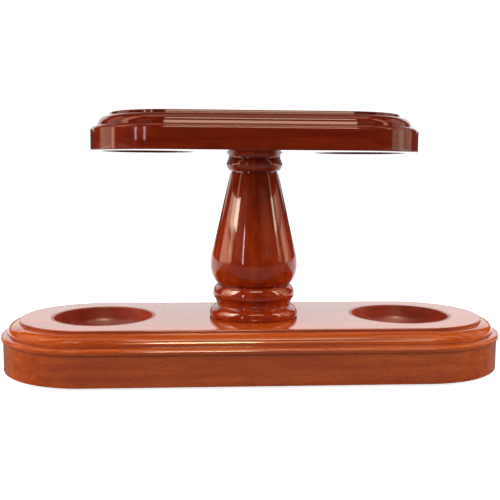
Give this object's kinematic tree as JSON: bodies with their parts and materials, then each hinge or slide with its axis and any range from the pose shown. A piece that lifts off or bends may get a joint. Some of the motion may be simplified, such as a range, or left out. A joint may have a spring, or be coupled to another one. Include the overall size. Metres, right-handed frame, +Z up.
{
  "type": "razor stand",
  "caption": "Two-tier turned and moulded wooden stand for shaving gear: a round-ended base with dished wells, a turned column and a smaller shelf with round pockets beneath.",
  "frame": {"origin": "on the surface the stand rests on, under the column's axis, at the underside of the foot pads", "axes": "+Z up along the column; +X along the boards' length; the front faces -Y"},
  "size_m": [0.305, 0.111, 0.1535],
  "materials": {
    "lacquered_wood": "close-grained hardwood stained reddish mahogany under clear high-gloss lacquer, with short dark pore flecks along the grain",
    "plain_wood": "unfinished pale beech, fine grain",
    "fastener_steel": "bright zinc-plated steel",
    "felt": "dark green pressed wool felt"
  },
  "bodies": {
    "root": {"base_board": "lacquered_wood", "column": "lacquered_wood", "shelf_board": "lacquered_wood", "base_screw": "fastener_steel", "base_washer": "fastener_steel", "base_plug": "plain_wood", "shelf_dowel_screw": "fastener_steel", "locating_dowel_left": "plain_wood", "locating_dowel_right": "plain_wood", "foot_pad_front_left": "felt", "foot_pad_front_right": "felt", "foot_pad_back_left": "felt", "foot_pad_back_right": "felt"}
  },
  "joints": []
}
